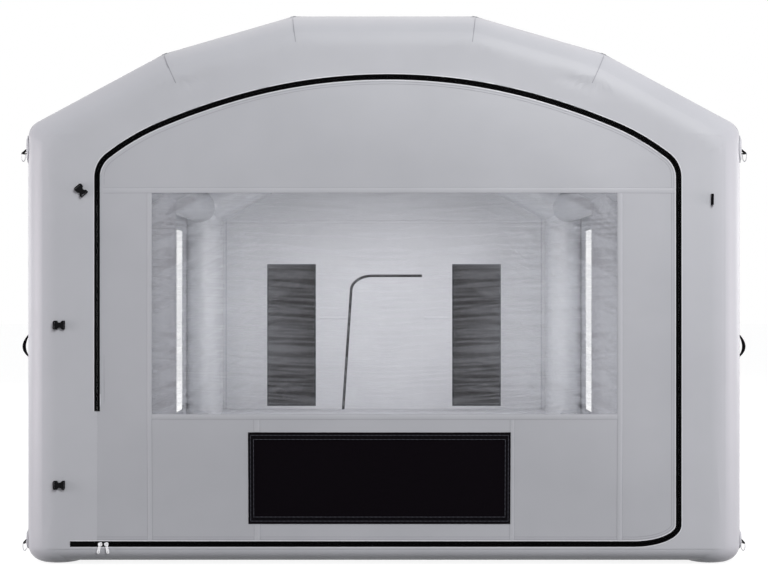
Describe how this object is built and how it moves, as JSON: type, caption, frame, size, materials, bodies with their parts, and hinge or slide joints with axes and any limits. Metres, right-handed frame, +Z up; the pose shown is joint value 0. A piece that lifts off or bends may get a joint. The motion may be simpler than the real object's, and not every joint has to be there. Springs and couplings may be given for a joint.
{
  "type": "inflatable paint booth",
  "caption": "Grey inflatable spray booth on air-filled arches, with a zipped front door that has a clear window and an air filter.",
  "frame": {"origin": "on the ground below the middle of the booth", "axes": "+Z up, the front wall faces -Y, +X to the right of someone facing the front"},
  "size_m": [4.0818, 8.0387, 3.06],
  "materials": {
    "tube_fabric": "satin",
    "sheet_fabric": "satin",
    "floor_fabric": "matte",
    "clear_film": "gloss",
    "black_fabric": "matte",
    "filter_fleece": "matte",
    "black_plastic": "satin",
    "zip_metal": "polished",
    "ring_steel": "satin",
    "patch_fabric": "satin"
  },
  "bodies": {
    "booth": {"arch_front": "tube_fabric", "arch_middle": "tube_fabric", "arch_rear": "tube_fabric", "shoulder_beam_left_front": "tube_fabric", "shoulder_beam_left_rear": "tube_fabric", "shoulder_beam_right_front": "tube_fabric", "shoulder_beam_right_rear": "tube_fabric", "ground_beam_left_front": "tube_fabric", "ground_beam_left_rear": "tube_fabric", "ground_beam_right_front": "tube_fabric", "ground_beam_right_rear": "tube_fabric", "ground_beam_back": "tube_fabric", "sill_tube": "tube_fabric", "roof_skin": "sheet_fabric", "side_wall_left": "sheet_fabric", "side_wall_right": "sheet_fabric", "front_wall": "sheet_fabric", "back_wall": "sheet_fabric", "floor_sheet": "floor_fabric", "side_window_left_front": "clear_film", "side_window_left_rear": "clear_film", "side_window_right_front": "clear_film", "side_window_right_rear": "clear_film", "front_zip_wall_tape": "black_fabric", "back_zip_wall_tape": "black_fabric", "webbing_loop": "black_fabric", "handle_left": "black_fabric", "handle_right": "black_fabric", "back_filter_left": "filter_fleece", "back_filter_right": "filter_fleece", "buckle_female_top": "black_plastic", "buckle_female_middle": "black_plastic", "buckle_female_bottom": "black_plastic", "valve_body": "black_plastic", "anchor_left_high": "patch_fabric", "anchor_left_low": "patch_fabric", "anchor_right_high": "patch_fabric", "anchor_right_low": "patch_fabric"},
    "front_door": {"front_door": "sheet_fabric", "front_window": "clear_film", "front_filter_frame": "black_fabric", "front_filter_pad": "filter_fleece", "front_zip_door_tape": "black_fabric"},
    "front_slider_left": {"front_slider_left": "zip_metal"},
    "front_slider_right": {"front_slider_right": "zip_metal"},
    "front_pull_left": {"front_pull_left": "zip_metal"},
    "front_pull_right": {"front_pull_right": "zip_metal"},
    "back_door": {"back_door": "sheet_fabric", "back_zip_door_tape": "black_fabric"},
    "back_slider": {"back_slider": "zip_metal"},
    "back_pull": {"back_pull": "zip_metal"},
    "buckle_male_top": {"buckle_male_top": "black_plastic"},
    "buckle_male_middle": {"buckle_male_middle": "black_plastic"},
    "buckle_male_bottom": {"buckle_male_bottom": "black_plastic"},
    "d_ring_left_high": {"d_ring_left_high": "ring_steel"},
    "d_ring_left_low": {"d_ring_left_low": "ring_steel"},
    "d_ring_right_high": {"d_ring_right_high": "ring_steel"},
    "d_ring_right_low": {"d_ring_right_low": "ring_steel"},
    "valve_cap": {"valve_cap": "black_plastic"}
  },
  "joints": [
    {"name": "front_door_hinge", "type": "hinge", "parent": "booth", "child": "front_door", "pos_m": [-1.5837, -4.0038, 0.1193], "axis": [0, 0, -1], "range_deg": [0, 110]},
    {"name": "front_slider_left_slide", "type": "slide", "parent": "front_door", "child": "front_slider_left", "axis": [1, 0, 0], "range_m": [0, 0.008]},
    {"name": "front_slider_right_slide", "type": "slide", "parent": "front_door", "child": "front_slider_right", "axis": [1, 0, 0], "range_m": [0, 2.88]},
    {"name": "front_pull_left_swing", "type": "hinge", "parent": "front_slider_left", "child": "front_pull_left", "pos_m": [-1.5657, -4.0107, 0.11769], "axis": [-1, 0, 0], "range_deg": [0, 160]},
    {"name": "front_pull_right_swing", "type": "hinge", "parent": "front_slider_right", "child": "front_pull_right", "pos_m": [-1.5317, -4.0107, 0.11769], "axis": [-1, 0, 0], "range_deg": [0, 160]},
    {"name": "back_door_hinge", "type": "hinge", "parent": "booth", "child": "back_door", "pos_m": [0.39, 4.0038, 0.2023], "axis": [0, 0, -1], "range_deg": [0, 110]},
    {"name": "back_slider_slide", "type": "slide", "parent": "back_door", "child": "back_slider", "axis": [0.067, 0, 0.9978], "range_m": [0, 1.18]},
    {"name": "back_pull_swing", "type": "hinge", "parent": "back_slider", "child": "back_pull", "pos_m": [-0.41696, 4.0107, 0.32008], "axis": [1, 0, 0], "range_deg": [0, 160]},
    {"name": "buckle_top_release", "type": "slide", "parent": "booth", "child": "buckle_male_top", "axis": [0.6561, 0, -0.7547], "range_m": [0, 0.045]},
    {"name": "buckle_middle_release", "type": "slide", "parent": "booth", "child": "buckle_male_middle", "axis": [1, 0, 0], "range_m": [0, 0.045]},
    {"name": "buckle_bottom_release", "type": "slide", "parent": "booth", "child": "buckle_male_bottom", "axis": [1, 0, 0], "range_m": [0, 0.045]},
    {"name": "d_ring_left_high_swing", "type": "hinge", "parent": "booth", "child": "d_ring_left_high", "pos_m": [-2.03125, -3.80871, 2.29], "axis": [0.3746, 0.9272, 0], "range_deg": [0, 150]},
    {"name": "d_ring_left_low_swing", "type": "hinge", "parent": "booth", "child": "d_ring_left_low", "pos_m": [-2.02198, -3.81246, 0.099], "axis": [0.3746, 0.9272, 0], "range_deg": [0, 150]},
    {"name": "d_ring_right_high_swing", "type": "hinge", "parent": "booth", "child": "d_ring_right_high", "pos_m": [2.03125, -3.80871, 2.29], "axis": [0.3746, -0.9272, 0], "range_deg": [0, 150]},
    {"name": "d_ring_right_low_swing", "type": "hinge", "parent": "booth", "child": "d_ring_right_low", "pos_m": [2.02198, -3.81246, 0.099], "axis": [0.3746, -0.9272, 0], "range_deg": [0, 150]},
    {"name": "valve_cap_hinge", "type": "hinge", "parent": "booth", "child": "valve_cap", "pos_m": [1.94922, 3.94922, 0.5089], "axis": [0.7071, -0.7071, 0], "range_deg": [0, 100]}
  ]
}
